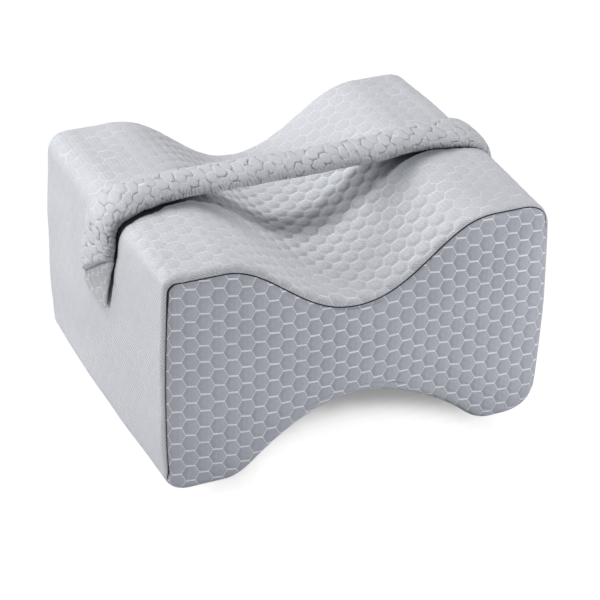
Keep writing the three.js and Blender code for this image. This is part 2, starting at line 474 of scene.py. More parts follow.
strapCloth = clothMaterial("strapCloth", {
    "dark": (0.452, 0.465, 0.5, 1), "light": (0.502, 0.515, 0.55, 1), "yarn": (0.637, 0.65, 0.688, 1),
    # The fold tone and its share are painted shade in the creases, folds and pinches, and the end shade darkens
    # the flat ends
    "stitch": (0.76, 0.775, 0.825, 1), "fold": (0.13, 0.14, 0.17, 1), "foldShadeShare": 0.45, "endShade": 0.17,
    "line": 0.6, "floats": 0.9, "dots": 0.9, "rim": 0.1, "specks": 0.4, "faint": 0.45,
    "loop": (1.3, 1.3), "sheen": 0.15, "knitDepth": 0.4, "dome": 0.0, "stitchLift": 0.4,
})
threadAndShadeLook = {
    # Near-black: the seam thread's tone, darkened to stand for the shade in the seam's gap
    "dark": (0.006, 0.008, 0.014, 1), "light": (0.025, 0.028, 0.038, 1),
    "roughness": (0.2, 0.8, 0.7, 0.95),
}


def threadAndShadeMaterial(name, look):
    material, tree, w = newMaterial(name)
    drift = w.group(toneDrift, Place=w.new("TexCoord").outputs["Object"])
    w.fill(tree.nodes["Principled BSDF"], {
        "Base Color": w.blend(drift["Fine"], look["dark"], look["light"]),
        "Roughness": w.steps(drift["Fine"], *look["roughness"]),
    })
    return material


seamThreadAndShade = threadAndShadeMaterial("seamThreadAndShade", threadAndShadeLook)
print("materials ready")

# The block's outline, seen from the front
block = {
    "width": 250, "depth": 200, "height": 147,
    "sideBulge": 1.6,  # how far the sides swell out at mid height
    "topCorner": (15, 15),  # left and right, as in the other corners, eases and shifts
    "bottomCorner": (18, 20),
    "frontTopCorner": (10, 20), "frontBottomCorner": (17, 24),
    "frontDrawnIn": (1.8, 0),  # how far the whole side stands in
    "lobe": 87,  # distance from the middle to where the top is level
    "drop": 38.3,  # depth of the scoop
    "frontDrop": 40, "lobeEase": (42, 32), "frontLobeEase": (32, 34), "bottomEase": 36,
    "archRise": 41, "archEase": 24,
    "slope": (70, 9),  # where the arch meets the foot: distance from the middle, height
    "slopeEase": 18, "footX": 80, "footEnd": 89,
    "frontFootShift": (-4, 4),  # away from the middle
    "crown": 1.6,  # how far the cover swells out half way between the ends
    "steps": 40,
}


def halfOutline(b, drop, topCorner, bottomCorner, lobeEase, footShift=0, drawnIn=0):
    side, top = b["width"] / 2 - drawnIn, b["height"]
    slopeX, footX, footEnd = (v + footShift for v in (b["slope"][0], b["footX"], b["footEnd"]))
    slopeZ = b["slope"][1]
    rise = b["slopeEase"] * slopeZ / (footX - slopeX)
    arch = [(0, b["archRise"]), (b["archEase"], b["archRise"])]
    parts = [
        arch + [(slopeX - b["slopeEase"], slopeZ + rise), (slopeX, slopeZ)],
        [(slopeX, slopeZ), (footX, 0), (footEnd, 0)],
        [(footEnd, 0), (side - bottomCorner, 0)],
        [(side - bottomCorner, 0), (side, 0), (side, bottomCorner)],
        [(side, bottomCorner), (side + 2 * b["sideBulge"], top / 2), (side, top - topCorner)],
        [(side, top - topCorner), (side, top), (side - topCorner, top)],
        [(side - topCorner, top), (b["lobe"], top)],
        [(b["lobe"], top), (b["lobe"] - lobeEase, top), (b["bottomEase"], top - drop), (0, top - drop)],
    ]
    return np.vstack([bezierPoints(p, b["steps"])[:-1] for p in parts] + [[(0, top - drop)]])


def wholeOutline(drop, *pairs):
    left, right = (halfOutline(block, drop, *values) for values in zip(*(block[label] for label in pairs)))
    return np.vstack([right, left[1:-1][::-1] * (-1, 1)])


def backOutline():
    return wholeOutline(block["drop"], "topCorner", "bottomCorner", "lobeEase")


def frontOutline():
    pairs = ("TopCorner", "BottomCorner", "LobeEase", "FootShift", "DrawnIn")
    return wholeOutline(block["frontDrop"], *("front" + pair for pair in pairs))


# The rounded corner between an end and the cover, and the seam that runs along it
corner = {
    "bend": [(0, 7), (0, 2.2), (1.4, 0), (5.2, 0)],  # distance from the end, distance inside the outline
    "bendSteps": 60, "runOut": 30,
    "aside": 0.15,  # how far before and after a place its direction is taken
    # The next three go by the upward lean of the outline
    # share of the bend
    "seamPlace": [(-1, 0.98), (-0.6, 0.95), (-0.3, 0.7), (0, 0.47), (0.45, 0.37), (1, 0.35)],
    "seamGap": [(-1, 0.7), (-0.5, 0.8), (-0.15, 0.04), (0.12, 0.04), (0.4, 1), (1, 1)],  # share of the gap
    "seamPull": [(-1, 0.2), (-0.3, 0.4), (0, 0.6), (0.5, 1), (1, 1)],  # strength
    "seamGapHigh": [(10, 0.7), (24, 0.04), (114, 0.04), (130, 0.9)],  # height, least share of the gap
    # where across, added to the share
    "seamLift": [(-124, 0.03), (-112, -0.1), (-20, -0.1), (10, 0), (70, 0.25)],
    "liftLeft": (-0.4, 0),  # lean over which that sets in
    "liftRight": (0.1, 0.6), "pullDepth": 0.7, "pullReach": 2.4,
    "lipSteps": [(0.5, 0.12), (0.28, 0.5), (0.2, 1.1), (0.3, 1.6)],  # distance from the seam, depth
    "lipStart": 0.9,
    "floorPanel": (2.45, 7.2),  # where the gap ends: distance from the end, distance inside the outline
    "floorCover": (2.8, 7.2),
}
bendLine = np.vstack([bezierPoints(corner["bend"], corner["bendSteps"]), [(corner["runOut"], 0)]])
bendLength = lengthAlong(bendLine)
bendTotal = bendLength[-2]


def onBend(walked, depth):
    # A point of the rounded corner: how far along it, and how deep under it
    ahead, behind = walked + corner["aside"], np.maximum(walked - corner["aside"], 0)
    along = unit(pointsAt(ahead, bendLength, bendLine) - pointsAt(behind, bendLength, bendLine))
    outward = np.stack([along[..., 1], -along[..., 0]], -1)
    return pointsAt(walked, bendLength, bendLine) - outward * np.asarray(depth)[..., None]


def seamShare(line, lean):
    lift = np.where(line[:, 0] > 0, ease(lean, *corner["liftRight"]), ease(lean, *corner["liftLeft"]))
    return valueAt(corner["seamPlace"], lean) + valueAt(corner["seamLift"], line[:, 0]) * lift


def gapShare(line, lean):
    return np.maximum(valueAt(corner["seamGap"], lean), valueAt(corner["seamGapHigh"], line[:, 1]))


def seamPull(walked, seamAt, lean):
    strength = corner["pullDepth"] * valueAt(corner["seamPull"], lean)
    return strength * np.exp(-(((walked - seamAt) / corner["pullReach"]) ** 2))


def seamProfile(line, lean, start, rows, toSeam, floor):
    # Rows of points from a start on the bend to the seam and down into its gap
    seamAt, gap = seamShare(line, lean) * bendTotal, gapShare(line, lean)
    onward = start + np.linspace(0, 1, rows)[:, None] * (seamAt - toSeam * corner["lipStart"] - start)
    lip = [onBend(seamAt - toSeam * a * gap, np.full(len(line), d)) for a, d in corner["lipSteps"]]
    rolled = onBend(onward, seamPull(onward, seamAt, lean))
    return np.concatenate([rolled, lip, np.broadcast_to(floor, (1, len(line), 2))]), np.abs(onward - seamAt)


# The strap's path and sections, about as in the solids
strap = {
    "bedY": -5, "bedDepth": 4.2, "bedWall": 2.4, "bedMargin": 0.3,
    "bedInside": 35,  # how far inside the lobe's top the bed begins
    "bedHeight": (-6, 35),  # above the sewn ends, where it begins and is full
    # across, how far the painted shade is full dark
    "shadeFull": [(40, 10), (62, 9), (75, 5.5), (87, 5), (97, 2.3), (106, 0.3), (120, 0)],
    "shadeReach": [(40, 16), (65, 13), (85, 6), (110, 3.5)],  # where across, how softly that ends
    "shadeShare": [(34, 0), (46, 0.25), (58, 0.5), (72, 0.85), (82, 1)],  # where across, how dark it is
    "shadeHeight": (0, 30),  # above the sewn ends
    "shadeBack": 4, "outlineSteps": 900, "clearance": 0.6, "endHeight": 86,
    "fullness": 2.6,  # 2 is an oval section, more is boxier
    "underside": 2.2,
    "widestAt": 0.3,  # share of the thickness at which the section is widest
    "left": [  # distance from the sewn end, front edge, back edge, thickness, gap in front
        (0, -20, 18.5, 4, 0.3), (10, -21, 17, 6, 0.3),
        (22, -23.5, 14, 9, 0.5), (42, -28.5, 10, 11, 1.2),
        (60, -26.5, 8.5, 11.5, 4), (74, -20.5, 10, 11.5, 5.5),
        (88, -17, 12, 11, 2.8), (105, -15, 12, 11, 1.2),
        (125, -15.5, 10.5, 11, 0.3), (200, -16, 9, 10.5, 0.3),
    ],
    "right": [
        (0, -19, 19, 4, 0.3), (10, -20, 19, 5, 0.3),
        (22, -21, 18.5, 6.5, 0.3), (42, -21, 18, 8, 0.5),
        (60, -18, 18, 8.6, 1.5), (74, -15, 17, 9, 1.8),
        (88, -12.5, 15, 10, 1.3), (105, -12.5, 12.5, 10.5, 0.6),
        (125, -15.5, 10.5, 10.5, 0.3), (200, -16, 9, 10.5, 0.3),
    ],
    "foldBack": 5,  # the fold over the sewn end: distance from the end, at its back and its front
    "foldFront": 35,
    "flatShare": 0.5,  # thickness kept below the fold
}


def sectionAt(table, fromEnd):
    # Eased from row to row of the table
    table = np.array(table, float)
    k = np.clip(np.searchsorted(table[:, 0], fromEnd, side="right"), 1, len(table) - 1)
    share = ease(fromEnd, table[k - 1, 0], table[k, 0])[:, None]
    return table[k - 1, 1:] * (1 - share) + table[k, 1:] * share


def bedDepthAt(x, z):
    # How far the strap has pressed the cover in under its middle
    share = ease(np.abs(x), block["lobe"] - strap["bedInside"], block["lobe"])
    return strap["bedDepth"] * share * ease(z - strap["endHeight"], *strap["bedHeight"])


def strapBed(x, y, z, onStrap, length):
    # The bed follows the strap's two edges, with a steep wall at each,
    # and a painted shade, which darkens the cover's colour, lies along the strap's front edge
    fromEnd = np.minimum(onStrap, length - onStrap)
    edges = np.where((x < 0)[:, None], sectionAt(strap["left"], fromEnd), sectionAt(strap["right"], fromEnd))
    front, back = edges[:, 0] - edges[:, 3], edges[:, 1] + strap["bedMargin"]
    wall, across = strap["bedWall"], np.abs(x)
    pressed = bedDepthAt(x, z) * ease(y, front - wall, front) * ease(-y, -back - wall, -back)
    # Painted shade: full dark from the strap's front edge to a set distance in front of it, then fading
    past = np.maximum(front - valueAt(strap["shadeFull"], across) - y, 0)
    darkFade = np.exp(-((past / valueAt(strap["shadeReach"], across)) ** 2))
    shade = darkFade * valueAt(strap["shadeShare"], across)
    shade *= ease(-y, -back, -back + strap["shadeBack"])
    return pressed, shade * ease(z - strap["endHeight"], *strap["shadeHeight"])


def tightLine(points):
    # The tight line over a set of points, from left to right
    hull = []
    for p in sorted(map(tuple, points)):
        while len(hull) > 1:
            (ax, az), (bx, bz) = hull[-2:]
            if (bx - ax) * (p[1] - az) - (bz - az) * (p[0] - ax) < 0:
                break
            hull.pop()
        hull.append(p)
    return np.array(hull)


def strapLine(count):
    line, normal = closedLine(backOutline(), strap["outlineSteps"])
    crown = block["crown"] * (1 - (2 * strap["bedY"] / block["depth"]) ** 2)
    cover = line + normal * (crown - bedDepthAt(*line.T))[:, None]
    upper = cover[(cover[:, 1] > strap["endHeight"]) & (np.abs(cover[:, 0]) > block["lobe"])]
    sideX = np.abs(cover[:, 0]).max()
    over = tightLine(list(upper) + [(-sideX, strap["endHeight"]), (sideX, strap["endHeight"])])
    return evenPoints(over, count)


coverBand = {
    "around": 640, "rowStep": 1.45, "seamRows": 10, "strapSteps": 400, "pastBend": 2.0,
    "calm": (0.8, 4.5),  # distance from the seam over which the cells rise
    "patternShift": (3.0, 2.0),
    "turnToFront": (-30, 80),  # distance toward the front over which the outline changes
    # How far the cloth faces down, sideways or up where it counts as that
    "under": (0.2, 0.8), "side": (0.8, 0.98), "top": (0.3, 0.8),
    # The loose cloth of the scoop: minus the distance from its middle, height, and its reach
    # toward the front on the right and on the left
    "looseAcross": (-78, -50), "looseHigh": (90, 110),
    "looseRight": (-62, -30), "looseLeft": (-98, -80), "looseTurn": (5, 35),
    "looseFade": (20, 50),  # distance toward the back, and how much of it goes
    "looseGone": 0.35,
    # The cloth pulled over the left lobe in front of the strap
    "pulledAcross": (20, 60), "pulledFront": (0, 20), "pulledLoose": 0.3, "pulledClear": 0.75,
    "relief": 0.14,  # how far the cells puff out
    "scoopRelief": 0.68,  # and how much more in the scoop, where the cloth is looser
    "leftRelief": 0.12,  # and on the left lobe in front of the strap
    "scaleLean": 0.17,  # how far its cells lap over each other
    "puffEdge": 3.0,
    "bedRelief": (0.3, 2),  # depth of the bed over which the cells flatten
    "underRelief": 0.4,  # share of the relief left under the block, and where the sides are pulled tight
    "sideRelief": 0.25, "underCrown": 0.2,
    "waves": [(0.3, 55, 3)],
    "tuck": 4.0,  # how far the left side's lower edge is drawn in at its middle
    "tuckSide": (0.25, 0.65), "tuckUnder": (0.2, 0.6),
    "tuckPlace": (25, 42),  # middle, reach
    "onFloor": (-1.5, -0.3),
    "shownLeft": 0.25,  # how clearly the honeycomb shows on the top
    "shownRight": 0.5,  # and how much more on the right, between these
    "shownFrom": (-20, 20), "shownTo": (85, 122),
}


def coverRings(c):
    # The outline at both ends, at even places along it, with the outward directions
    back, front = (np.vstack([line, line[:1]]) for line in (backOutline(), frontOutline()))
    walked = lengthAlong(back)
    at = np.linspace(0, walked[-1], c["around"] + 1)
    rings = [pointsAt(at, walked, line) for line in (back, front)]
    return walked[-1], rings, [outwardNormals(ring[:-1])[[*range(c["around"]), 0]] for ring in rings]


def makeCover(c):
    length, rings, normals = coverRings(c)
    columns = c["around"] + 1
    start, half = bendTotal + c["pastBend"], block["depth"] / 2
    profile, away = seamProfile(rings[1], normals[1][:, 1], start, c["seamRows"], -1, corner["floorCover"])
    front, away = profile[::-1], away[::-1]
    reach = half - front[-1, 0, 0]
    rows = int(round(2 * reach / c["rowStep"]))
    middleY = np.linspace(-reach, reach, rows + 1)[1:-1]
    y = np.concatenate(
        [front[..., 0] - half, np.repeat(middleY[:, None], columns, 1), half - front[::-1, :, 0]]
    )
    inset = np.concatenate([front[..., 1], np.zeros((rows - 1, columns)), front[::-1, :, 1]])
    calmFront = np.concatenate([np.zeros((len(front) - len(away), columns)), ease(away, *c["calm"])])
    calm = np.concatenate([calmFront, np.ones((rows - 1, columns)), calmFront[::-1]])
    v = np.vstack([np.zeros(columns), np.cumsum(np.hypot(np.diff(y, axis=0), np.diff(inset, axis=0)), axis=0)])
    v -= v[np.argmin(np.abs(y[:, 0]))]
    mesh, across, along = gridSheet("coverBand", c["around"], len(y) - 1)
    i, j = np.rint(across * c["around"]).astype(int), np.rint(along * (len(y) - 1)).astype(int)
    y, inset, calm = y[j, i], inset[j, i], calm[j, i]
    toFront = ease(-y, *c["turnToFront"])[:, None]
    place = rings[0][i] * (1 - toFront) + rings[1][i] * toFront
    normal = unit(normals[0][i] * (1 - toFront) + normals[1][i] * toFront)
    under, onTop = ease(-normal[:, 1], *c["under"]), ease(normal[:, 1], *c["top"])
    sideways = ease(np.abs(normal[:, 0]), *c["side"])
    swollen = block["crown"] * (1 - (1 - c["underCrown"]) * under) * (1 - (y / half) ** 2)
    x, z = place.T
    over, overLength = strapLine(c["strapSteps"])
    nearest = np.array([np.argmin(np.hypot(*(over - p).T)) for p in rings[0]])
    bed, shade = strapBed(x, y, z, (nearest / c["strapSteps"] * overLength)[i], overLength)
    u, v = i / c["around"] * length + c["patternShift"][0], v[j, i] + c["patternShift"][1]
    turned = ease(-x, *c["looseTurn"])
    low, high = (right + (left - right) * turned for right, left in zip(c["looseRight"], c["looseLeft"]))
    loose = ease(-np.abs(x), *c["looseAcross"]) * ease(z, *c["looseHigh"]) * ease(-y, low, high)
    loose *= 1 - c["looseGone"] * ease(y, *c["looseFade"])
    pulled = ease(-x, *c["pulledAcross"]) * ease(-y, *c["pulledFront"]) * onTop
    height = c["relief"] + c["scoopRelief"] * loose + c["leftRelief"] * pulled
    edge, inCell = hexCells(u, v)
    puff = (ease(edge, 0, c["puffEdge"]) - 0.5) * height - c["scaleLean"] * inCell * pulled
    puff *= calm * (1 - ease(bed, *c["bedRelief"]))
    puff *= (1 - (1 - c["underRelief"]) * under) * (1 - (1 - c["sideRelief"]) * sideways)
    wave = unevenness(u, v, c["waves"]) * calm * (1 - under)
    middle, spread = c["tuckPlace"]
    tucked = ease(-normal[:, 0], *c["tuckSide"]) * ease(-normal[:, 1], *c["tuckUnder"])
    tucked *= np.exp(-(((y - middle) / spread) ** 2))
    offFloor = 1 - ease(-z, *c["onFloor"])
    out = swollen - inset - bed - c["tuck"] * tucked + (puff + wave) * offFloor
    points = np.stack([x + normal[:, 0] * out, y, np.maximum(0, z + normal[:, 1] * out)], 1)
    placePoints(mesh, points, u, v)
    onRight = ease(x, *c["shownFrom"]) * (1 - ease(x, *c["shownTo"]))
    clear = np.maximum(onTop * (c["shownLeft"] + c["shownRight"] * onRight), c["pulledClear"] * pulled)
    markPoints(mesh, {
        "taut": sideways,
        "loose": np.maximum(loose, c["pulledLoose"] * pulled),
        "clear": np.maximum(clear, loose),
        # painted shade along the strap's front edge, which darkens the cloth's colour
        "paintedStrapShade": shade,
    })
    piece = closeAndShow("coverBand", mesh, coverCloth)
    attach(piece, "root")
    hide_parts("pillow_body")
    return piece


cover = makeCover(coverBand)
print("cover ready", len(cover.data.polygons))

endPanel = {
    "across": 250, "up": 142, "rimRows": 8, "sideSteps": 600, "outlineSteps": 1600,
    "nearSteps": 3,  # every how many points of the outline the distance to it is taken
    "evenShare": 0.75,  # how far the grid's columns stand upright
    "swell": 1.1, "swellReach": 22, "relief": 0.34, "puffEdge": 2.6, "calm": 3,
    "waves": [(0.3, 55, 2)],  # height, length, added to the panel's seed
    "waveCalm": (2, 20),
    "shiftAcross": [(0.8, 80, 1)],
    "shiftUp": [(1.2, 90, 0)],
    # across, degrees down to the right
    "rowTilts": [(-125, 9), (-60, 8.5), (-25, 1), (20, 0), (45, 6), (125, 7)],
    "tiltAt": (-130, 130, 261), "patternShift": (4.2, 6.0), "patternScale": (1.04, 1.015),
    "flatShare": 0.5,  # how far from the panel's flat to the outline its cut edge lies
}


def alongLine(line, at):
    return pointsAt(at * (len(line) - 1), np.arange(len(line)), line)


def coonsPatch(a, b, bottom, top, left, right):
    # Fills four joined edges: a across, b up
    a1, b1 = a[:, None], b[:, None]
    ruled = alongLine(bottom, a) * (1 - b1) + alongLine(top, a) * b1
    ruled += alongLine(left, b) * (1 - a1) + alongLine(right, b) * a1
    lowCorners = (bottom[0] * (1 - a1) + bottom[-1] * a1) * (1 - b1)
    return ruled - lowCorners - (top[0] * (1 - a1) + top[-1] * a1) * b1


def rowDrift(x):
    at = np.linspace(*endPanel["tiltAt"])
    slope = np.tan(np.radians(valueAt(endPanel["rowTilts"], at)))
    return np.interp(x, at, np.r_[0, np.cumsum(slope[1:] * (at[1] - at[0]))])


def evenColumns(line):
    # Spread mostly by X, so that the columns of the panel's grid stand upright
    even = endPanel["evenShare"]
    measure = even * line[:, 0] / np.ptp(line[:, 0]) + (1 - even) * np.linspace(-0.5, 0.5, len(line))
    return pointsAt(np.linspace(measure[0], measure[-1], endPanel["sideSteps"]), measure, line)


def panelCorners(outline):
    # The stretch of the outline on each side: each row is x, z and the outward normal
    line, normal = closedLine(outline, endPanel["outlineSteps"])
    ring = np.hstack([line - normal * corner["bend"][0][1], normal])
    side, top = block["width"] / 2, block["height"]
    corners = ((-side, 0), (side, 0), (side, top), (-side, top))
    marks = [int(np.argmin(np.hypot(ring[:, 0] - x, ring[:, 1] - z))) for x, z in corners]

    def stretch(a, b):
        return ring[np.arange(a, b + 1 if b >= a else b + 1 + len(ring)) % len(ring)]

    bottom, right = evenColumns(stretch(marks[0], marks[1])), stretch(marks[1], marks[2])
    upper, left = evenColumns(stretch(marks[2], marks[3])[::-1]), stretch(marks[3], marks[0])[::-1]
    return ring, bottom, upper, left, right


def makePanel(name, facing, outline, node, seed):
    e = endPanel
    ring, bottom, upper, left, right = panelCorners(outline)
    half = block["depth"] / 2
    rows = corner["bend"][0][1]

    def seeded(label):
        return [(height, length, seed + more) for height, length, more in e[label]]

    def pattern(x, z):
        u = x + unevenness(x, z, seeded("shiftAcross")) + e["patternShift"][0]
        v = z + rowDrift(x) + unevenness(x, z, seeded("shiftUp")) + e["patternShift"][1]
        return u * e["patternScale"][0], v * e["patternScale"][1]

    mesh, a, b = gridSheet(name, e["across"], e["up"])
    x, z = coonsPatch(a, b, bottom, upper, left, right)[:, :2].T
    edge, nearest = np.full(len(x), np.inf), np.zeros(len(x), int)
    for k in range(0, len(ring), e["nearSteps"]):
        away = np.hypot(x - ring[k, 0], z - ring[k, 1])
        nearest[away < edge] = k
        edge = np.minimum(edge, away)
    edge[(np.minimum(a, 1 - a) < 1e-6) | (np.minimum(b, 1 - b) < 1e-6)] = 0
    u, v = pattern(x, z)
    out = e["swell"] * ease(edge, 0, e["swellReach"])
    out += e["relief"] * ease(hexCells(u, v)[0], 0, e["puffEdge"]) * ease(edge, 0, e["calm"])
    out += unevenness(x, z, seeded("waves")) * ease(edge, *e["waveCalm"])
    lean = ring[nearest, 3]
    out -= seamPull(-edge, seamShare(ring[nearest], lean) * bendTotal, lean)
    placePoints(mesh, np.stack([x, facing * (half + out), z], 1), u * -facing, v)

    # The rim that rolls from the flat of the panel into the seam
    acrossAt, upAt = np.linspace(0, 1, e["across"] + 1), np.linspace(0, 1, e["up"] + 1)
    loop = np.vstack([
        alongLine(bottom, acrossAt)[:-1], alongLine(right, upAt)[:-1],
        alongLine(upper, acrossAt)[:0:-1], alongLine(left, upAt)[:0:-1],
    ])
    loop = np.vstack([loop, loop[:1]])
    normal = unit(loop[:, 2:])
    profile, _ = seamProfile(loop, normal[:, 1], 0, e["rimRows"], 1, corner["floorPanel"])
    rim, across, along = gridSheet(name + "Rim", len(loop) - 1, len(profile) - 1)
    i = np.rint(across * (len(loop) - 1)).astype(int)
    j = np.rint(along * (len(profile) - 1)).astype(int)
    fromEnd, inset = profile[j, i].T
    flatPlace = loop[i, :2] + normal[i] * (rows - inset)[:, None]
    alongCloth = np.minimum(rows + e["calm"], rows - inset + fromEnd)
    u, v = pattern(*(loop[i, :2] + normal[i] * alongCloth[:, None]).T)
    rimPlace = np.stack([flatPlace[:, 0], facing * (half - fromEnd), flatPlace[:, 1]], 1)
    placePoints(rim, rimPlace, u * -facing, v)

    bm = bmesh.new()
    bm.from_mesh(mesh)
    bm.from_mesh(rim)
    bm.to_mesh(mesh)
    bm.free()
    bpy.data.meshes.remove(rim)
    panel = closeAndShow(name, mesh, panelCloth)
    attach(panel, "root")
    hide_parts(node)
    cut = ring[:, :2] + ring[:, 2:] * rows * e["flatShare"]
    twiceArea = np.sum(cut[:, 0] * np.roll(cut[:, 1], -1) - cut[:, 1] * np.roll(cut[:, 0], -1))
    return panel


frontPanel = makePanel("frontPanel", -1, frontOutline(), "front_panel", 11)
backPanel = makePanel("backPanel", 1, backOutline(), "back_panel", 31)
print("panels ready", len(frontPanel.data.polygons))

seam = {
    "radius": 0.62,
    "thinnest": 0.1,  # share of the radius where the seam is closed
    "depth": 0.62,
    "sunkMore": 1.0,  # and how much deeper it lies there
    "steps": 600,
}


def makeSeam(name, facing, outline):
    # A near-black thread deep in the gap between the lip and the panel: the seam's thread, made near-black as
    # painted shade for the gap
    line, normal = closedLine(outline, seam["steps"])
    gap = gapShare(line, normal[:, 1])
    sunk = seam["depth"] + seam["sunkMore"] * (1 - gap)
    fromEnd, inset = onBend(seamShare(line, normal[:, 1]) * bendTotal, sunk).T
    ring = line - normal * inset[:, None]
    curve = bpy.data.curves.new(name, "CURVE")
    curve.dimensions = "3D"
    spline = curve.splines.new("POLY")
    spline.points.add(len(ring) - 1)
    for point, (x, z), y, share in zip(spline.points, ring, facing * (block["depth"] / 2 - fromEnd), gap):
        point.co = (x * mm, y * mm, z * mm, 1)
        point.radius = seam["thinnest"] + (1 - seam["thinnest"]) * share
    spline.use_cyclic_u = True
    curve.bevel_depth = seam["radius"] * mm
    curve.bevel_resolution = 1
    source = addObject(name + "Curve", curve)
    mesh = bpy.data.meshes.new_from_object(source)
    bpy.data.objects.remove(source)
    thread = addObject(name, mesh)
    mesh.materials.clear()
    mesh.materials.append(seamThreadAndShade)
    for face in mesh.polygons:
        face.use_smooth = True
    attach(thread, "root")
    return thread


makeSeam("frontSeam", -1, frontOutline())
makeSeam("backSeam", 1, backOutline())
print("seams ready")

gathers = {
    "around": 130, "along": 760,
    "smoothed": 6,  # steps on each side over which the strap's direction is evened
    "puffPitch": 6.2, "puffRow": 9.2,
    "puffEdge": 1.7,  # how far in from its edge a puff is full
    "puffRise": 0.62,
    "puffLevel": 0.6,  # share of the rise that stays level
    "flatRise": 0.45,  # share of it on the flat ends
    "puffSide": (-0.1, 0.35), "upperSide": (-0.75, 0.0),
    "puffFrom": (0, 2.5),  # past the fold
    "thickFrom": (0, 2.2),
    # Sets of waves: height, length, seed
    "wanderAlong": [(0.9, 24, 5), (0.7, 8, 6)], "wanderAcross": [(0.9, 22, 7), (0.6, 7, 8)],
    "uneven": [(0.4, 26, 14)],
    "creaseMiddle": 0.4, "creaseWaves": [(1.1, 7, 9)], "creaseDepth": 0.6, "creaseReach": 0.8,
    "wrinkleRise": 0.22, "wrinklePitch": 2.1, "wrinkleWander": [(2.2, 9, 15)],
    "wrinkleWay": (0.55, 0.85),  # along, around
    "wrinkleMiddle": 0.3, "wrinkleWaves": [(1, 10, 16)], "wrinkleEdge": (-2.4, -0.4),
    "ruffleRise": 0.3, "rufflePitch": 2.3, "ruffleWander": [(1.6, 14, 12)], "ruffleSide": (0.6, 0.98),
    "foldDepth": 0.9, "foldReach": 0.8,
    "pinchDepth": 0.65, "pinchMiddle": 0.5, "pinchWaves": [(1, 13, 17)],
    "pinchRuffle": (0.55, 0.95), "pinchFront": (0.75, 0.95), "pinchHigh": (-0.5, -0.1),
    "undersideSwell": -0.2,
}


def thicknessAlong(length):
    # Shares of the strap's length, and its thickness there
    left = [(row[0] / length, row[3]) for row in strap["left"] if row[0] < length / 2]
    right = [(1 - row[0] / length, row[3]) for row in strap["right"] if row[0] < length / 2]
    return zip(*(left + right[::-1]))


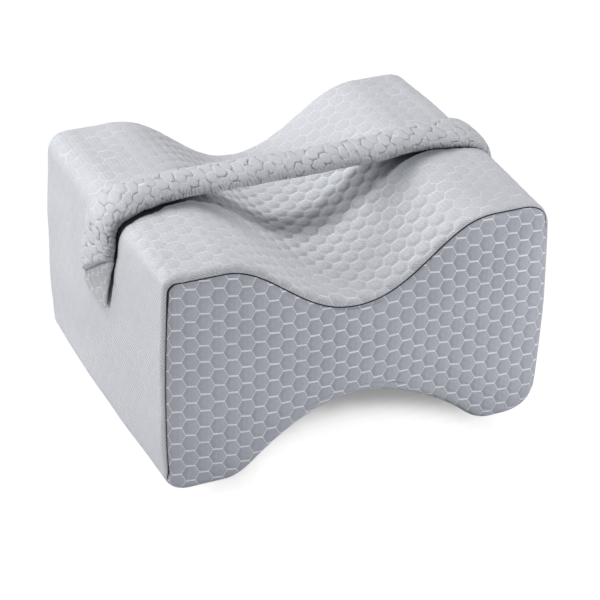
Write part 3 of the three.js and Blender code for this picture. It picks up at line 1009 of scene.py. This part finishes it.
def makeStrap(g):
    line, length = strapLine(g["along"])
    tangent = np.pad(np.gradient(line, axis=0), ((g["smoothed"],) * 2, (0, 0)), mode="edge")
    count = 2 * g["smoothed"] + 1
    tangent = unit(np.stack([np.convolve(column, np.ones(count) / count, "valid") for column in tangent.T], 1))
    outward = np.stack([-tangent[:, 1], tangent[:, 0]], 1)
    mesh, across, along = gridSheet("strapGathered", g["around"], g["along"])
    i = np.rint(along * g["along"]).astype(int)
    turn = -2 * math.pi * across
    cos, sin = np.cos(turn), np.sin(turn)
    walked = i / g["along"] * length
    fromEnd = np.minimum(walked, length - walked)
    onLeft = (walked < length / 2)[:, None]
    leftSection = sectionAt(strap["left"], fromEnd)
    rightSection = sectionAt(strap["right"], fromEnd)
    front, back, thick, _ = np.where(onLeft, leftSection, rightSection).T
    v = (across - 0.5) * math.pi * np.sqrt(((back - front) ** 2 + thick**2) / 2)
    power = np.where(sin > 0, 2 / strap["fullness"], 2 / strap["underside"])
    c, s = (np.sign(w) * np.abs(w) ** power for w in (cos, sin))
    middle, reach = (front + back) / 2, (back - front) / 2
    pastFold = fromEnd - strap["foldBack"] - (strap["foldFront"] - strap["foldBack"]) * (0.5 - 0.5 * c)
    puffy = ease(pastFold, *g["puffFrom"])
    thick = thick * (strap["flatShare"] + (1 - strap["flatShare"]) * ease(pastFold, *g["thickFrom"]))

    def waved(label, middle=0.0):
        return middle + unevenness(walked, v, g[label])

    top = line + outward * np.interp(np.linspace(0, 1, len(line)), *thicknessAlong(length))[:, None]
    onTop = lengthAlong(top)[i]
    clothU = (onTop + waved("wanderAlong")) * cell["columnPitch"] / g["puffPitch"]
    clothV = (v + waved("wanderAcross")) * cell["rowPitch"] / g["puffRow"]
    edge, _ = hexCells(clothU, clothV)
    strength = np.clip(waved("creaseWaves", g["creaseMiddle"]), 0, 1)
    upperSide = ease(sin, *g["upperSide"])
    rise = (np.sqrt(np.clip(edge / g["puffEdge"], 0, 1)) - g["puffLevel"]) * g["puffRise"]
    rise *= (g["flatRise"] + (1 - g["flatRise"]) * puffy) * ease(sin, *g["puffSide"])
    crease = np.clip(1 - edge / g["creaseReach"], 0, 1) * strength * puffy
    ruffle = np.sin((walked + waved("ruffleWander")) * 2 * math.pi / g["rufflePitch"])
    way = walked * g["wrinkleWay"][0] + v * g["wrinkleWay"][1] + waved("wrinkleWander")
    wrinkle = np.sin(way * 2 * math.pi / g["wrinklePitch"]) * ease(-edge, *g["wrinkleEdge"])
    wrinkle *= np.clip(waved("wrinkleWaves", g["wrinkleMiddle"]), 0, 1) * puffy
    nearEdges = ease(np.abs(cos), *g["ruffleSide"])
    fold = np.exp(-((pastFold / g["foldReach"]) ** 2))
    swell = upperSide * (rise - g["creaseDepth"] * crease - g["foldDepth"] * fold + waved("uneven") * puffy)
    swell += (g["ruffleRise"] * ruffle * nearEdges + g["wrinkleRise"] * wrinkle * upperSide) * puffy
    pinch = ease(-ruffle, *g["pinchRuffle"]) * ease(-cos, *g["pinchFront"]) * ease(sin, *g["pinchHigh"])
    pinch *= puffy * np.clip(waved("pinchWaves", g["pinchMiddle"]), 0, 1)
    rising = strap["widestAt"] + np.where(s > 0, 1 - strap["widestAt"], strap["widestAt"]) * s
    high = strap["clearance"] + thick * rising + swell * np.maximum(sin, g["undersideSwell"])
    y = middle + reach * c + swell * cos
    points = np.stack([line[i, 0] + outward[i, 0] * high, y, line[i, 1] + outward[i, 1] * high], 1)
    placePoints(mesh, points, clothU, clothV)
    markPoints(mesh, {
        # crack and fold mark the creases, where the material paints shade; flatEnd marks the flat ends, which it
        # shades darker
        "crack": strength * puffy * upperSide,
        "fold": np.maximum(fold, g["pinchDepth"] * pinch) * upperSide,
        "flatEnd": (1 - puffy) * upperSide,
    })
    piece = closeAndShow("strapGathered", mesh, strapCloth)
    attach(piece, "root")
    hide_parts("strap")
    return piece


makeStrap(gathers)
print("strap ready")

# Floor and soft studio light
studio = {
    "floorSize": 8.0, "floorTone": 0.6, "floorCells": 130,
    "floorSpread": (0.04, 30.72),  # how much finer the floor's grid is in the middle
    "floorBelow": 0.0003,
    "floorShade": [  # how open a place is, and how white the camera sees it
        (0.05, 0.28), (0.088, 0.33), (0.1, 0.456), (0.119, 0.631),
        (0.1365, 0.753), (0.156, 0.871), (0.19, 0.94), (0.25, 1.03),
    ],
    "shadePast": (6, -4),  # how far past the feet and the ends the floor is shaded
    "shadeRays": 300, "shadeLift": 0.0004, "sky": 0.24, "lampAim": 0.07,
    "lamps": {  # power, size, where it stands
        "topLight": (20.2, 0.75, (-0.52, 0.2, 1.8)),
        "leftLight": (12.5, 1.0, (-1.6, 0.25, 0.42)),
        "rightLight": (5.6, 0.4, (0.75, -0.8, 0.15)),
        "backLight": (15.2, 0.8, (-0.3, 1.6, 0.9)),
    },
}


def addLamp(name, power, size, at):
    light = bpy.data.lights.new(name, "AREA")
    light.energy = power
    light.shape = "DISK"
    light.size = size
    lamp = addObject(name, light)
    lamp.location = at
    lampAim = Vector((0, 0, studio["lampAim"])) - lamp.location
    lamp.rotation_euler = lampAim.to_track_quat("-Z", "Y").to_euler()


def openness(points, rays):
    # The share of the soft light that reaches each place on the floor past the pillow
    bm = bmesh.new()
    bm.from_mesh(cover.data)
    tree = BVHTree.FromBMesh(bm)
    bm.free()
    step = np.arange(rays) + 0.5
    turn, out = step * math.pi * (1 + math.sqrt(5)), np.sqrt(step / rays)
    ways = [Vector(way) for way in zip(out * np.cos(turn), out * np.sin(turn), np.sqrt(1 - step / rays))]
    lift = Vector((0, 0, studio["shadeLift"]))
    return [sum(tree.ray_cast(Vector(p) + lift, way)[0] is None for way in ways) / rays for p in points]


def makeStudio(s):
    mesh, across, along = gridSheet("floor", s["floorCells"], s["floorCells"])
    even, outer = s["floorSpread"]
    spread = [s["floorSize"] / mm * (even * t + outer * t**5) for t in (across - 0.5, along - 0.5)]
    place = np.stack([*spread, np.zeros(len(across))], 1)
    placePoints(mesh, place, *spread)
    shade = np.full(len(place), s["floorShade"][-1][1])
    pastFeet, pastEnds = s["shadePast"]
    near = np.abs(place[:, 0]) < block["footEnd"] + pastFeet
    near &= np.abs(place[:, 1]) < block["depth"] / 2 + pastEnds
    shade[near] = valueAt(s["floorShade"], openness(place[near] * mm, s["shadeRays"]))
    row, column = (np.rint(t * s["floorCells"]).astype(int) for t in (along, across))
    evened = np.empty((s["floorCells"] + 1,) * 2)
    evened[row, column] = shade
    for _ in range(2):
        beside = evened[:-2, 1:-1] + evened[2:, 1:-1] + evened[1:-1, :-2] + evened[1:-1, 2:]
        evened[1:-1, 1:-1] = (beside + 2 * evened[1:-1, 1:-1]) / 6
    markPoints(mesh, {"shade": evened[row, column]})
    floor = addObject("floor", mesh)
    floor.location.z = -s["floorBelow"]
    white, tree, w = newMaterial("floorWhite")
    tree.nodes.clear()
    plain, glow = w.new("BsdfDiffuse"), w.new("Emission")
    plain.inputs["Color"].default_value = (s["floorTone"],) * 3 + (1,)
    # Painted shadow: the floor glows for the camera, dimmed where the pillow shuts off the soft light
    w.plug(glow.inputs["Strength"], w.painted("shade"))
    rays = w.new("LightPath").outputs["Is Camera Ray"]
    picked = w.fill(w.new("MixShader"), {0: rays, 1: plain.outputs[0], 2: glow.outputs[0]})
    w.fill(w.new("OutputMaterial"), {"Surface": picked[0]})
    mesh.materials.append(white)
    world = bpy.data.worlds.new("studio")
    bpy.context.scene.world = world
    world.use_nodes = True
    tree = world.node_tree
    w = Wires(tree)
    sky = tree.nodes["Background"]
    sky.inputs["Color"].default_value = (1, 1, 1, 1)
    behind = w.new("LightPath").outputs["Is Camera Ray"]
    w.plug(sky.inputs["Strength"], w.steps(behind, 0, 1, s["sky"], 1.0))
    for name, (power, size, at) in s["lamps"].items():
        addLamp(name, power, size, at)
    view = bpy.context.scene.view_settings
    view.view_transform = "Standard"
    view.look = "None"


makeStudio(studio)
print("studio ready")
